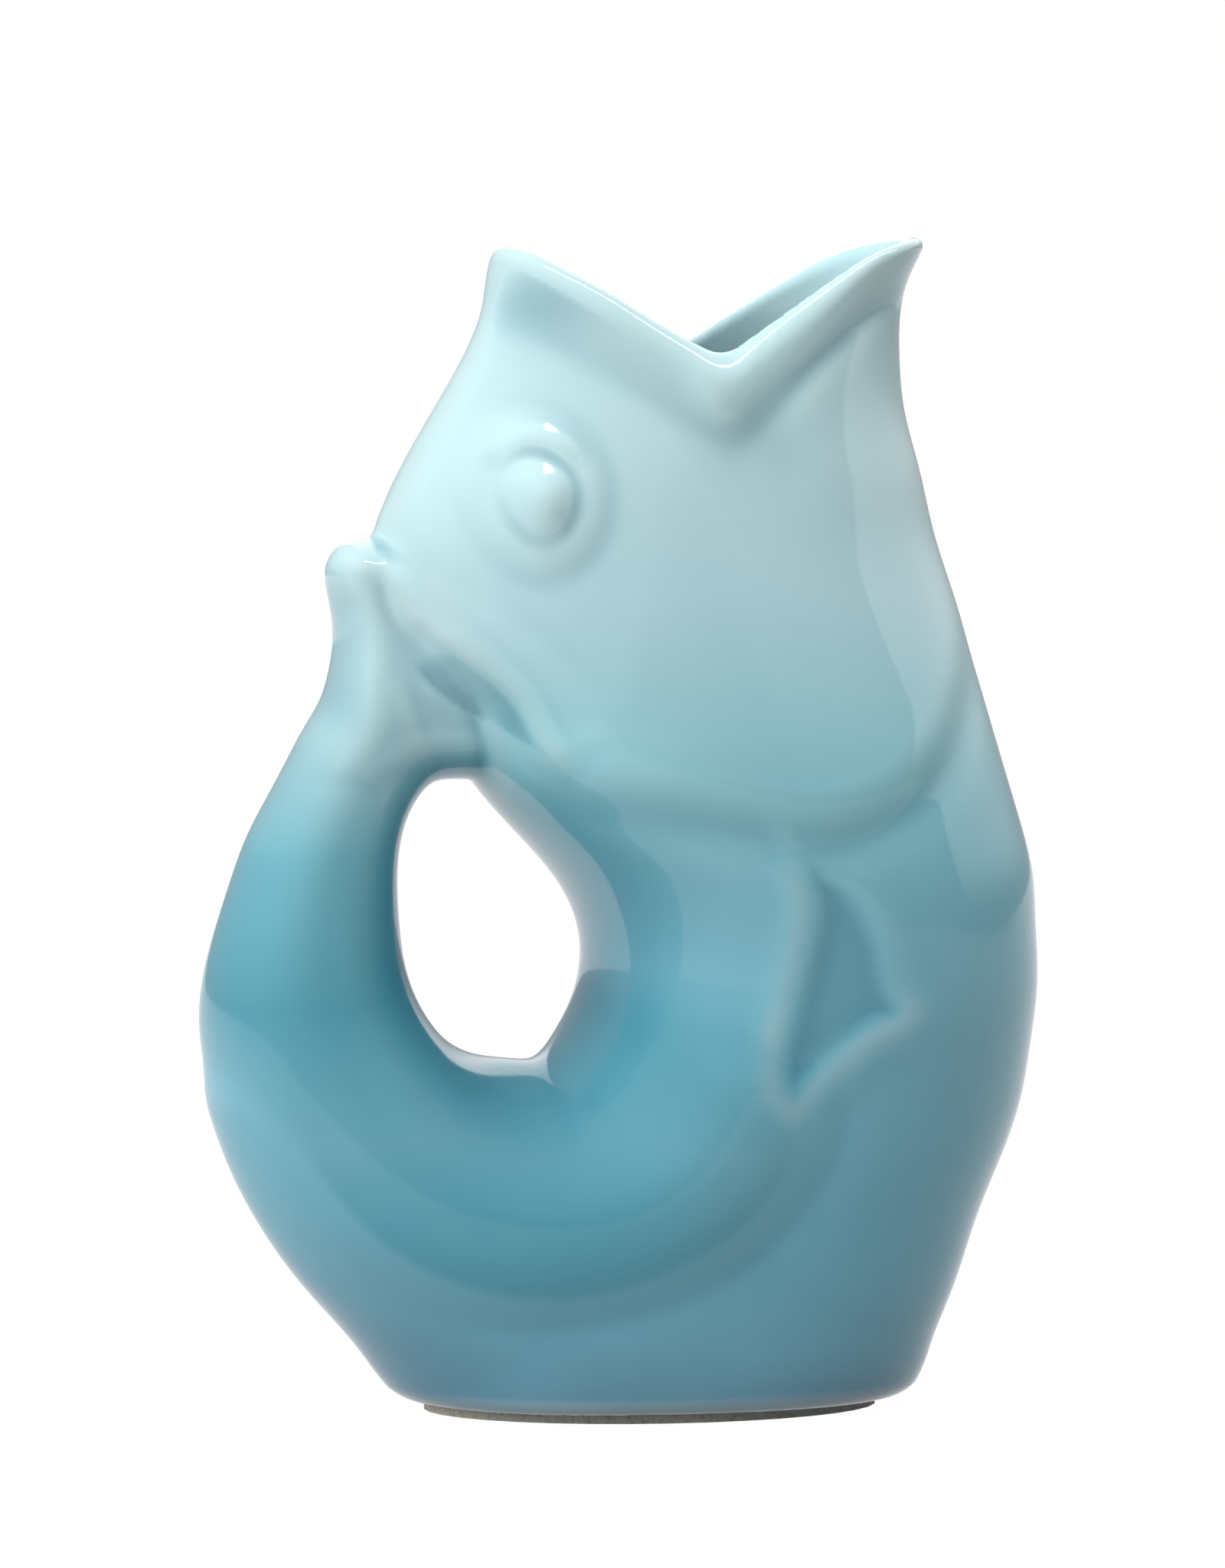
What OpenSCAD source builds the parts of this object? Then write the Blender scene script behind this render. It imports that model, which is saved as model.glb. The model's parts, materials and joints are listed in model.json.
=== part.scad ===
// Gurgle jug: a hollow fish that stands on its belly. Its open mouth is the pouring lip,
// and its hollow tail bends up behind the head as the handle and air chamber.
// +X points to the spout, +Y runs across the jug and +Z is up.
// The origin is on the table, under the middle of the jug.

/* [Jug] */
// Height of the jug, from the table to the tip of the spout
jug_h = 260; // [200:1:320]
// Length of the jug, from the bend of the tail to the front of the belly
jug_l = 186; // [150:1:230]
// Depth of the jug, across the belly
jug_d = 114; // [90:1:150]
// Thickness of the fired clay wall
wall = 4.5; // [3:0.5:6]

/* [Handle] */
// Length of the finger hole between tail and head, along the jug
hole_l = 43; // [36:1:52]
// Height of the finger hole
hole_h = 64; // [50:1:75]

/* [Foot] */
// Length of the flat base, along the jug
base_l = 110; // [95:1:116]
// Depth of the flat base, across the jug
base_d = 80; // [60:1:90]
// Height of the unglazed foot ring
foot_h = 2.5; // [1:0.5:5]
// Width of the face that the foot ring rests on
foot_w = 7; // [4:0.5:10]
// How far the foot ring sits inside the edge of the base
foot_inset = 4; // [2:0.5:8]

/* [Mouth] */
// Height of the rolled lip round the mouth
lip_h = 11; // [6:0.5:16]
// How far the lip stands out from the head
lip_proud = 1.8; // [0.5:0.1:3]

/* [Face] */
// Length of the eye, along the jug
eye_l = 16; // [10:0.5:22]
// Height of the eye
eye_h = 19; // [12:0.5:24]
// How far the eye stands out from the head
eye_proud = 4.5; // [2:0.5:6]
// Width of the raised ring round the eye
eye_ring_w = 6.5; // [3:0.5:9]
// How far the ring round the eye stands out from the head
eye_ring_proud = 2.2; // [1:0.1:4]
// How far the gill edge stands out from the belly
gill_proud = 2.2; // [0.5:0.1:4]

/* [Side fins] */
// How far the edge of a side fin stands out from the belly
fin_proud = 2.6; // [1:0.1:5]
// How deep the middle of a side fin is sunk below its edge
fin_sink = 1.4; // [0.2:0.1:2]

/* [Hidden] */

aqua = [0.70, 0.85, 0.87];
teal = [0.42, 0.62, 0.69];
deep_teal = [0.34, 0.54, 0.62];
bare_clay = [0.88, 0.85, 0.79];

// Points in each ring of the skin, and in each ring of an eye
ring_points = 36;
eye_points = 24;
// How square the ribs are: 2 is an ellipse
rib_power = 2.2;

// Middle of the finger hole, which is an oval, and of the flat base, which is one too
hole_x_share = -0.154;
hole_z_share = 0.406;
base_x_share = 0.039;
base_x = base_x_share * jug_l;

// The skin is drawn over ribs. A rib runs from a back point to a front point in the
// middle plane of the jug, and has a half depth. Places along the fish count the ribs
// from the mouth down the belly, under the base and up the tail.
// Down the head and belly the ribs lie level, one step apart.
rib_step_share = 0.05;
// Level ribs: back, front, half depth
level_shares = [
    [-0.150, 0.378, 0.47],
    [-0.165, 0.349, 0.49],
    [-0.189, 0.344, 0.54],
    [-0.229, 0.348, 0.615],
    [-0.267, 0.360, 0.695],
    [-0.291, 0.370, 0.77],
    [-0.293, 0.391, 0.84],
    [-0.270, 0.411, 0.90],
    [-0.228, 0.432, 0.945],
    [-0.195, 0.455, 0.975],
    [-0.137, 0.476, 0.995],
    [-0.073, 0.492, 1.00],
    [-0.042, 0.499, 1.00]
];
// Ribs round the finger hole start at an angle of its oval.
// Down the front of the belly: angle, front along, front up, half depth
front_shares = [
    [-34, 0.499, 0.339, 0.985],
    [-48, 0.487, 0.273, 0.97],
    [-60, 0.466, 0.212, 0.95],
    [-69, 0.439, 0.158, 0.93],
    [-76, 0.408, 0.095, 0.91],
    [-81, 0.379, 0.042, 0.89]
];
// Under the base: angle, place along the base's half length, front up, half depth
base_shares = [
    [-85, 1.063, 0.012, 0.88],
    [-88, 1, 0, 0.875],
    [-91, 0.87, 0, 0.87],
    [-94, 0.53, 0, 0.86],
    [-97, 0, 0, 0.85],
    [-100, -0.53, 0, 0.83],
    [-103, -0.87, 0, 0.81],
    [-106, -1, 0, 0.79],
    [-109, -1.063, 0.012, 0.77]
];
// Up the back of the tail: angle, front along, front up, half depth
tail_shares = [
    [-113, -0.314, 0.042, 0.755],
    [-119, -0.375, 0.092, 0.73],
    [-127, -0.430, 0.146, 0.695],
    [-138, -0.472, 0.206, 0.645],
    [-151, -0.494, 0.272, 0.585],
    [-166, -0.499, 0.340, 0.525],
    [-181, -0.488, 0.394, 0.47],
    [-196, -0.466, 0.443, 0.42],
    [-210, -0.438, 0.494, 0.38],
    [-224, -0.410, 0.533, 0.35],
    [-237, -0.388, 0.563, 0.34],
    [-249, -0.366, 0.592, 0.335]
];
// Ribs of the tail fin: back along, back up, front along, front up, half depth
fan_shares = [
    [-0.199, 0.530, -0.352, 0.621, 0.34],
    [-0.206, 0.537, -0.345, 0.652, 0.35],
    [-0.213, 0.543, -0.342, 0.690, 0.36],
    [-0.220, 0.548, -0.336, 0.728, 0.36]
];

rise = jug_h - foot_h;

// A rib from an angle of the finger hole to a front point: its two ends and half depth
function hole_rib(angle, front_x, front_z, deep) = [
    hole_x_share * jug_l + hole_l / 2 * cos(angle),
    foot_h + hole_z_share * rise + hole_h / 2 * sin(angle),
    front_x, front_z, deep
];

// All ribs in order: back along, back up, front along, front up, half depth
ribs = concat(
    [for (i = [0 : len(level_shares) - 1])
        let (r = level_shares[i], up = foot_h + (1 - i * rib_step_share) * rise)
        [r[0] * jug_l, up, r[1] * jug_l, up, r[2] * jug_d / 2]],
    [for (r = front_shares)
        hole_rib(r[0], r[1] * jug_l, foot_h + r[2] * rise, r[3] * jug_d / 2)],
    [for (r = base_shares)
        hole_rib(r[0], base_x + r[1] * base_l / 2, foot_h + r[2] * rise, r[3] * jug_d / 2)],
    [for (r = tail_shares)
        hole_rib(r[0], r[1] * jug_l, foot_h + r[2] * rise, r[3] * jug_d / 2)],
    [for (r = fan_shares)
        [r[0] * jug_l, foot_h + r[1] * rise, r[2] * jug_l, foot_h + r[3] * rise, r[4] * jug_d / 2]]
);

// Places along the fish where one piece of clay meets the next
belly_end = 15.6;
tail_start = 31;
fin_start = 38.6;
fin_end = len(ribs) - 1;
// The gill edge: its place at the side, and how far it climbs to the front and the back
gill_place = 9.8;
gill_front_climb = 2.8;
gill_back_climb = 0.6;
// The V of the mouth: its place at the corner, the climb to the tips, where the corner is
// round the head and how rounded it is
mouth_place = 2.06;
mouth_climb = 2.266;
mouth_corner_share = 0.05;
mouth_round_share = 0.07;

// Number of steps along each piece
lower_steps = 28;
belly_steps = 10;
head_steps = 13;
tail_steps = 12;
fan_steps = 7;
fan_columns = 6;

lip_places = lip_h / (rib_step_share * rise);

// Middle of an eye, along and up
eye_x_share = -0.144;
eye_z_share = 0.773;
eye_x = eye_x_share * jug_l;
eye_z = foot_h + eye_z_share * rise;

// Corners of a side fin: place along the fish and turn from the front of the belly
fin_root_back = [10.2, 101];
fin_root_front = [10.3, 92];
fin_tip_back = [15.2, 98];
fin_tip_front = [13, 77];
fin_bow = 9;
fin_rows = 12;
fin_columns = 9;

// A smooth curve through the rows of a list
function spline(list, t) =
    let (
        last = len(list) - 1,
        i = max(0, min(last - 1, floor(t))),
        f = t - i,
        a = list[max(0, i - 1)],
        b = list[i],
        c = list[i + 1],
        d = list[min(last, i + 2)]
    )
    b + 0.5 * f * ((c - a) + f * ((2 * a - 5 * b + 4 * c - d) + f * (3 * (b - c) + d - a)));

function mix(a, b, f) = a + (b - a) * f;
function signed_power(v, p) = sign(v) * pow(abs(v), p);

// Half depth of the flat base at a place along the jug
function base_half(x) =
    let (run = (x - base_x) / (base_l / 2))
    base_d / 2 * sqrt(max(0, 1 - run * run));

// The level rib at a height of the head or belly
function level_place(z) = (1 - (z - foot_h) / rise) / rib_step_share;

// A point of the skin: place along the fish, turn round the rib from its front point,
// and distance outside the skin
function skin(place, turn, out = 0) =
    let (
        r = spline(ribs, place),
        back = [r[0], r[1]],
        front = [r[2], max(foot_h, r[3])],
        half = (front - back) / 2,
        deep = r[4],
        side = turn > 180 ? turn - 360 : turn,
        low = min(1, max(0, 90 - abs(side)) / (90 - 180 / ring_points)),
        edge = min(1, base_half(front[0]) / deep),
        flat = low > 0 ? min(1, 3 * edge) : 0,
        sunk = sin(90 * low),
        along = mix(signed_power(cos(turn), 2 / rib_power), sunk, flat),
        across = mix(signed_power(sin(turn), 2 / rib_power), sign(side)
            * pow(1 - (1 - pow(edge, rib_power)) * pow(sunk, rib_power), 1 / rib_power), flat),
        p = (front + back) / 2 + half * (1 + out / norm(half)) * along
    )
    [p[0], (deep + out) * across, p[1]];

// Where the back of the head is, at a distance across and a height
function head_back(y, z) =
    let (
        place = level_place(z),
        r = spline(ribs, place),
        out = gill_swell(place, gill_place - gill_back_climb),
        half = (r[2] - r[0]) / 2 + out,
        deep = r[4] + out
    )
    (r[2] + r[0]) / 2 - half * pow(1 - pow(min(1, abs(y) / deep), rib_power), 1 / rib_power);

// How far the head swells out towards the gill edge
function gill_swell(place, gill) = gill_proud * pow(max(0, min(1, place / gill)), 5);

function ring_turn(k) = (k + 0.5) * 360 / ring_points;
ring_turns = [for (k = [0 : ring_points - 1]) ring_turn(k)];

// The three curved seams, as a place for every turn
gill_seam = [for (a = ring_turns)
    gill_place - gill_front_climb * pow(max(0, cos(a)), 3) - gill_back_climb * max(0, -cos(a))];
mouth_edge = [for (a = ring_turns)
    let (run = cos(a) - mouth_corner_share)
    max(0, mouth_place - mouth_climb
        * (sqrt(run * run + mouth_round_share * mouth_round_share) - mouth_round_share))];
lip_seam = [for (t = mouth_edge) t + lip_places];

function level_seam(place) = [for (a = ring_turns) place];
function ring(seam, out = 0) = [for (k = [0 : ring_points - 1]) skin(seam[k], ring_turns[k], out)];

// Rings from one seam to another
function shell_rings(from, to, steps, out) =
    [for (i = [0 : steps]) ring(mix(from, to, i / steps), out)];

function reversed(list) = [for (i = [len(list) - 1 : -1 : 0]) list[i]];
function joined(rings) = [for (r = rings) each r];

// The two triangles between neighbouring points of two rings
function ring_band(i, j, n) = [for (k = [0 : n - 1]) let (m = (k + 1) % n)
    each [[i * n + k, i * n + m, j * n + m], [i * n + k, j * n + m, j * n + k]]];

// A solid whose rings close up on themselves, such as a tube with a wall
module hoop(rings) {
    n = len(rings[0]);
    count = len(rings);
    polyhedron(joined(rings), [for (i = [0 : count - 1]) each ring_band(i, (i + 1) % count, n)]);
}

// The end of a row of rings, as a strip between the facing halves of a ring
function strip_end(first, n) = [for (k = [0 : n / 2 - 2]) let (m = n - 1 - k)
    each [[first + m, first + k + 1, first + k], [first + m, first + m - 1, first + k + 1]]];

// A solid over a row of rings, closed by a strip at both ends
module loft(rings) {
    n = len(rings[0]);
    last = len(rings) - 1;
    polyhedron(joined(rings), concat(
        [for (i = [0 : last - 1]) each ring_band(i, i + 1, n)],
        strip_end(0, n),
        [for (f = strip_end(last * n, n)) reversed(f)]
    ));
}

// A hollow length of the fish between two seams
module hollow(from, to, steps) {
    hoop(concat(
        shell_rings(from, to, steps, 0),
        reversed(shell_rings(from, to, steps, -wall))
    ));
}

module lower_body() {
    color(deep_teal) hollow(level_seam(belly_end), level_seam(tail_start), lower_steps);
}

module belly() {
    color(teal) hollow(gill_seam, level_seam(belly_end), belly_steps);
}

module head() {
    outer = [for (i = [0 : head_steps])
        let (seam = mix(lip_seam, gill_seam, i / head_steps))
        [for (k = [0 : ring_points - 1])
            skin(seam[k], ring_turns[k], gill_swell(seam[k], gill_seam[k]))]];
    color(aqua) hoop(concat(outer, reversed(shell_rings(lip_seam, gill_seam, head_steps, -wall))));
}

module mouth_rim() {
    // Each ring of the lip: how far down from its edge, and how far out
    outer_shares = [[0, -0.4], [0.06, 0.5], [0.3, 1], [0.7, 0.9], [0.92, 0.5], [1, 0.1]];
    outer = [for (s = outer_shares)
        ring(mix(mouth_edge, lip_seam, s[0]), lip_proud * s[1])];
    inner = [ring(lip_seam, -wall), ring(mouth_edge, -wall)];
    color(aqua) hoop(concat(outer, inner));
}

module tail_tube() {
    color(teal) hollow(level_seam(tail_start), level_seam(fin_start), tail_steps);
}

module tail_fin() {
    fan = [for (i = [0 : fan_steps]) ring(level_seam(mix(fin_start, fin_end, i / fan_steps)))];
    resting = [for (p = fan[fan_steps]) [head_back(p[1], p[2]), p[1], p[2]]];
    rings = concat(fan, [resting]);
    rows = ring_points / 2 - 1;
    last = (len(rings) - 1) * ring_points;
    inner = len(rings) * ring_points - 1;
    // The face on the head is a net of rows across, with points between their two ends
    net = [for (i = [1 : rows - 1]) for (j = [1 : fan_columns - 1])
        let (y = resting[i][1] * (1 - 2 * j / fan_columns), z = resting[i][2])
        [head_back(y, z), y, z]];
    function knot(i, j) =
        j == 0 ? last + i :
        j == fan_columns ? last + ring_points - 1 - i :
        inner + (i - 1) * (fan_columns - 1) + j;
    half = fan_columns / 2;
    color(aqua) polyhedron(concat(joined(rings), net), concat(
        [for (i = [0 : len(rings) - 2]) each ring_band(i, i + 1, ring_points)],
        [[for (k = [ring_points - 1 : -1 : 0]) k]],
        [for (j = [0 : half - 1]) each [
            [knot(0, 0), knot(1, j), knot(1, j + 1)],
            [knot(0, fan_columns), knot(1, half + j), knot(1, half + j + 1)],
            [knot(rows - 1, j), knot(rows, 0), knot(rows - 1, j + 1)],
            [knot(rows - 1, half + j), knot(rows, fan_columns), knot(rows - 1, half + j + 1)]]],
        [[knot(0, fan_columns), knot(0, 0), knot(1, half)],
         [knot(rows, 0), knot(rows, fan_columns), knot(rows - 1, half)]],
        [for (i = [1 : rows - 2]) for (j = [0 : fan_columns - 1]) each [
            [knot(i, j), knot(i + 1, j), knot(i, j + 1)],
            [knot(i, j + 1), knot(i + 1, j), knot(i + 1, j + 1)]]]
    ));
}

module foot_ring() {
    outer_l = base_l / 2 - foot_inset;
    outer_d = base_d / 2 - foot_inset;
    oval = [for (a = ring_turns) [cos(a), sin(a)]];
    color(bare_clay) translate([base_x, 0, 0]) linear_extrude(foot_h) difference() {
        polygon([for (p = oval) [p[0] * outer_l, p[1] * outer_d]]);
        polygon([for (p = oval) [p[0] * (outer_l - foot_w), p[1] * (outer_d - foot_w)]]);
    }
}

// A ring on the right side of the head, round the middle of the eye
function eye_round(half_l, half_h, out) = [for (k = [0 : eye_points - 1])
    let (
        a = k * 360 / eye_points,
        place = level_place(eye_z + half_h * sin(a)),
        r = spline(ribs, place),
        run = (eye_x + half_l * cos(a) - (r[2] + r[0]) / 2) / ((r[2] - r[0]) / 2),
        turn = acos(signed_power(run, rib_power / 2))
    )
    skin(place, -turn, out + gill_swell(place, gill_place))];

module right_eye() {
    // Rings of the dome: how wide, and how far out
    dome_shares = [[0.12, 1], [0.36, 0.97], [0.62, 0.87], [0.82, 0.68], [0.94, 0.45], [1, 0.2]];
    back_shares = [1, 0.5, 0.12];
    color(aqua) loft(concat(
        [for (s = dome_shares)
            eye_round(eye_l / 2 * s[0], eye_h / 2 * s[0], eye_proud * s[1])],
        [for (s = back_shares) eye_round(eye_l / 2 * s, eye_h / 2 * s, 0)]
    ));
}

module right_eye_ring() {
    // Rings of the raised band: how far from the eye, and how far out
    band_shares = [[0, 0.3], [0.25, 0.8], [0.5, 1], [0.75, 0.75], [1, 0.2]];
    back_shares = [1, 0.5, 0];
    color(aqua) hoop(concat(
        [for (s = back_shares)
            eye_round(eye_l / 2 + eye_ring_w * s, eye_h / 2 + eye_ring_w * s, 0)],
        [for (s = band_shares)
            eye_round(eye_l / 2 + eye_ring_w * s[0], eye_h / 2 + eye_ring_w * s[0],
                      eye_ring_proud * s[1])]
    ));
}

// A point of the right side fin: down from its root, across from its back edge, and how far out
function fin_point(down, across, out) =
    let (
        corner = mix(mix(fin_root_back, fin_root_front, across),
                     mix(fin_tip_back, fin_tip_front, across), down),
        bow = fin_bow * sin(180 * down) * (1 - 2 * across)
    )
    skin(corner[0], -(corner[1] + bow), out);

function fin_height(down, across) =
    fin_proud - fin_sink * sin(180 * across) * sin(180 * down);

module right_pectoral_fin() {
    color(teal) loft([for (i = [0 : fin_rows]) let (down = i / fin_rows) concat(
        [for (j = [0 : fin_columns]) let (across = j / fin_columns)
            fin_point(down, across, fin_height(down, across))],
        [for (j = [fin_columns : -1 : 0]) fin_point(down, j / fin_columns, 0)]
    )]);
}

// The left side of the fish mirrors the right side
module left_eye() mirror([0, 1, 0]) right_eye();
module left_eye_ring() mirror([0, 1, 0]) right_eye_ring();
module left_pectoral_fin() mirror([0, 1, 0]) right_pectoral_fin();

lower_body();
belly();
head();
mouth_rim();
tail_tube();
tail_fin();
foot_ring();
left_eye();
right_eye();
left_eye_ring();
right_eye_ring();
left_pectoral_fin();
right_pectoral_fin();
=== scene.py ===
"""Looks of a glazed ceramic gurgle jug shaped as a standing fish.

The jug is described by one field: for every place in its mid plane, how far the
glazed skin stands off that plane. The field is turned into a closed hollow shell,
which is then cut along the luted seams into the pieces that stand for the CAD nodes.
"""
import json
import math

import bpy
import numpy as np
import openvdb
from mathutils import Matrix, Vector


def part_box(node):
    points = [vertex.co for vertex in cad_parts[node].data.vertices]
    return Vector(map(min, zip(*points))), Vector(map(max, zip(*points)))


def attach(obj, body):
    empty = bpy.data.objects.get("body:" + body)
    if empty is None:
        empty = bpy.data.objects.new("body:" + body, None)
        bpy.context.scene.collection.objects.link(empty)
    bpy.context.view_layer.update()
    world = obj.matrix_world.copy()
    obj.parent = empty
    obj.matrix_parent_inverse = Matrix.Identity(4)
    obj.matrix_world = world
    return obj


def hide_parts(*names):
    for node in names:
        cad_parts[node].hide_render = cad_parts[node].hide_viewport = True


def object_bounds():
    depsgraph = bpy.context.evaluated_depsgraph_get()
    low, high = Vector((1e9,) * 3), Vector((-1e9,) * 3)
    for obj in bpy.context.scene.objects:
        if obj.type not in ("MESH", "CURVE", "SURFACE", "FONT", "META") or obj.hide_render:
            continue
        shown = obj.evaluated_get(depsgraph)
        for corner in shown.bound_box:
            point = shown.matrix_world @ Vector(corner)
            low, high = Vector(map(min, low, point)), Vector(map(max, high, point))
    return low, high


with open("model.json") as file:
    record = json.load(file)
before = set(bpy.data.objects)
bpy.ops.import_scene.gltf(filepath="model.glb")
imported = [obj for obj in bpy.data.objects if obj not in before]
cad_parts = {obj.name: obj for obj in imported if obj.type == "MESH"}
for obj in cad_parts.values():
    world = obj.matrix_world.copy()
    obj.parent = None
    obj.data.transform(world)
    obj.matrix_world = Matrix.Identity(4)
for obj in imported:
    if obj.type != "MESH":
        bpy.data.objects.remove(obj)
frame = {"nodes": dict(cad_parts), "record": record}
cad_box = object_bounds()

# Driving dimensions, in millimetres, taken from the frame.
MM = 0.001
DEPTH_SHARE = 0.44
low_corner, high_corner = (np.array(corner) / MM for corner in cad_box)
jug_l = high_corner[0] - low_corner[0]
jug_h = high_corner[2] - low_corner[2]
jug_d = DEPTH_SHARE * jug_h
foot_h = float(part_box("lower_body")[0][2]) / MM
rise = jug_h - foot_h
half_d = jug_d / 2
wall = 4.5


def at_x(share):
    """A place along the jug, from its share of the length."""
    return share * jug_l


def at_z(share):
    """A height, from its share of the rise above the foot."""
    return foot_h + share * rise


def curve(knots, values, wanted):
    """A natural cubic through given knots, held flat past both ends."""
    knots, values = np.asarray(knots, float), np.asarray(values, float)
    n, gap = len(knots), np.diff(knots)
    bend = np.zeros((n, n))
    bend[0, 0] = bend[-1, -1] = 1
    pull = np.zeros(n)
    slope = np.diff(values) / gap
    for i in range(1, n - 1):
        bend[i, i - 1:i + 2] = gap[i - 1], 2 * (gap[i - 1] + gap[i]), gap[i]
        pull[i] = 6 * (slope[i] - slope[i - 1])
    second = np.linalg.solve(bend, pull)
    q = np.clip(wanted, knots[0], knots[-1])
    i = np.clip(np.searchsorted(knots, q) - 1, 0, n - 2)
    b, a = q - knots[i], knots[i + 1] - q
    g = gap[i]
    ends = (values[i] * a + values[i + 1] * b) / g
    return ends + ((a ** 3 / g - a * g) * second[i] + (b ** 3 / g - b * g) * second[i + 1]) / 6


def smooth_max(a, b, k):
    return np.maximum(a, b) + np.maximum(k - np.abs(a - b), 0) ** 2 / (4 * k)


def step(low, high, value):
    t = np.clip((value - low) / (high - low), 0, 1)
    return t * t * (3 - 2 * t)


def bell(value, width):
    return np.exp(-(value / width) ** 2)


def stand_off(square):
    return np.sign(square) * np.sqrt(np.abs(square))


def path_points(knots, per_leg=12):
    """A rounded line through given points."""
    knots = np.asarray(knots, float)
    run = np.concatenate([[0], np.cumsum(np.hypot(*np.diff(knots, axis=0).T))])
    fine = np.linspace(0, run[-1], per_leg * (len(knots) - 1) + 1)
    return np.stack([curve(run, knots[:, 0], fine), curve(run, knots[:, 1], fine)], 1)


def to_path(x, z, path):
    """Distance to a line, which side of it a place is on, and how far along it is."""
    best = np.full(x.shape, np.inf)
    side = np.zeros(x.shape)
    along = np.zeros(x.shape)
    total = np.hypot(*np.diff(path, axis=0).T).sum()
    gone = 0.0
    for (x0, z0), (x1, z1) in zip(path[:-1], path[1:]):
        dx, dz = x1 - x0, z1 - z0
        long = math.hypot(dx, dz)
        t = np.clip(((x - x0) * dx + (z - z0) * dz) / long ** 2, 0, 1)
        off = np.hypot(x - x0 - t * dx, z - z0 - t * dz)
        near = off < best
        best = np.where(near, off, best)
        side = np.where(near, np.sign(dx * (z - z0) - dz * (x - x0)), side)
        along = np.where(near, (gone + t * long) / total, along)
        gone += long
    return best, side, along


def inside_depth(x, z, outline):
    """Distance inside a closed outline, negative outside."""
    outline = np.asarray(outline, float)
    ring = np.vstack([outline, outline[:1]])
    off = to_path(x, z, ring)[0]
    crossed = np.zeros(x.shape, bool)
    for (x0, z0), (x1, z1) in zip(ring[:-1], ring[1:]):
        if z0 != z1:
            hit = (z0 > z) != (z1 > z)
            crossed ^= hit & (x < (x1 - x0) * (z - z0) / (z1 - z0) + x0)
    return np.where(crossed, off, -off)


# The body from base to mouth: height, back edge, front edge and half depth, as shares.
BODY = np.array([
    (-0.02, -0.235, 0.314, 0.68), (0.00, -0.244, 0.324, 0.700), (0.03, -0.240, 0.359, 0.730),
    (0.06, -0.230, 0.381, 0.752), (0.11, -0.210, 0.410, 0.790), (0.17, -0.190, 0.438, 0.840),
    (0.225, -0.142, 0.469, 0.890), (0.27, -0.114, 0.489, 0.928), (0.305, -0.084, 0.497, 0.955),
    (0.34, -0.053, 0.503, 0.978), (0.37, -0.038, 0.506, 0.990), (0.42, -0.042, 0.503, 1.0),
    (0.46, -0.074, 0.500, 1.0), (0.50, -0.126, 0.487, 0.995), (0.55, -0.183, 0.466, 0.98),
    (0.60, -0.211, 0.445, 0.95), (0.65, -0.250, 0.425, 0.905), (0.70, -0.282, 0.404, 0.845),
    (0.75, -0.290, 0.382, 0.775), (0.80, -0.264, 0.366, 0.700), (0.85, -0.224, 0.348, 0.615),
    (0.90, -0.184, 0.342, 0.540), (0.94, -0.163, 0.345, 0.497), (0.97, -0.156, 0.358, 0.480),
    (1.00, -0.144, 0.378, 0.470), (1.03, -0.135, 0.390, 0.465),
])
# The bowl below the tail, in the same shares.
SKIRT = np.array([
    (-0.02, -0.237, 0.320, 0.70), (0.00, -0.248, 0.329, 0.715), (0.03, -0.284, 0.343, 0.745),
    (0.06, -0.316, 0.345, 0.765), (0.11, -0.378, 0.320, 0.785), (0.16, -0.430, 0.280, 0.775),
    (0.20, -0.461, 0.235, 0.730), (0.23, -0.477, 0.180, 0.660), (0.26, -0.486, 0.110, 0.540),
    (0.29, -0.488, 0.010, 0.360),
])
# Rows read off the photograph sit a little lower on the jug, seen from above its foot.
ROW_SCALE, ROW_SHIFT = 1.0185, -0.0172
for table in (BODY, SKIRT):
    table[:, 0] = ROW_SCALE * table[:, 0] + ROW_SHIFT
HOLE_X, HOLE_Z = at_x(-0.131), at_z(0.404)
HOLE_L, HOLE_H = 51.0, 65.0
# The tail round the hole: turn in degrees, outer radius and half depth as shares.
TAIL = np.array([
    (-20, 0.335, 0.965), (-45, 0.348, 0.950), (-65, 0.358, 0.915), (-90, 0.357, 0.860),
    (-115, 0.336, 0.770), (-140, 0.304, 0.655), (-153, 0.290, 0.590), (-166, 0.2755, 0.530),
    (-177, 0.259, 0.485), (-188, 0.2465, 0.445), (-200, 0.241, 0.410), (-211, 0.239, 0.380),
    (-219, 0.243, 0.360), (-227, 0.250, 0.345), (-245, 0.262, 0.330),
])
# How full the level sections are: at the front, and at the back low down and at the head.
FRONT_POWER = 2.3
BACK_POWER, NAPE_SOFTER, NAPE = 2.9, 0.7, (0.6, 0.78)


def loft(table, x, z, back_power):
    """Signed square of the stand-off of a form with level sections."""
    share = (z - foot_h) / rise
    back = at_x(curve(table[:, 0], table[:, 1], share))
    front = at_x(curve(table[:, 0], table[:, 2], share))
    deep = half_d * curve(table[:, 0], table[:, 3], share)
    reach = (x - (back + front) / 2) / ((front - back) / 2)
    power = np.where(reach < 0, back_power, FRONT_POWER)
    return deep ** 2 * (1 - np.abs(reach) ** power)


def body_square(x, z):
    """The body from base to mouth, fuller at the back low down than at the head."""
    share = (z - foot_h) / rise
    return loft(BODY, x, z, BACK_POWER - NAPE_SOFTER * step(*NAPE, share))


# Where the hole widens or draws in: turn and spread in degrees, and share of its radius.
HOLE_SWELLS = ((-238, 36, 0.25), (-50, 30, 0.05), (-122, 25, -0.035))
# How full the tail's section is, softer inside the bend, and where the tail starts and ends.
TAIL_POWER, BEND_SOFTER, BEND_TURN, BEND_SPREAD = 2.5, 0.45, -80, 50
TAIL_ROOT, TAIL_TIP = (20, -40), (-262, -240)
NO_TAIL = 900.0


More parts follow.
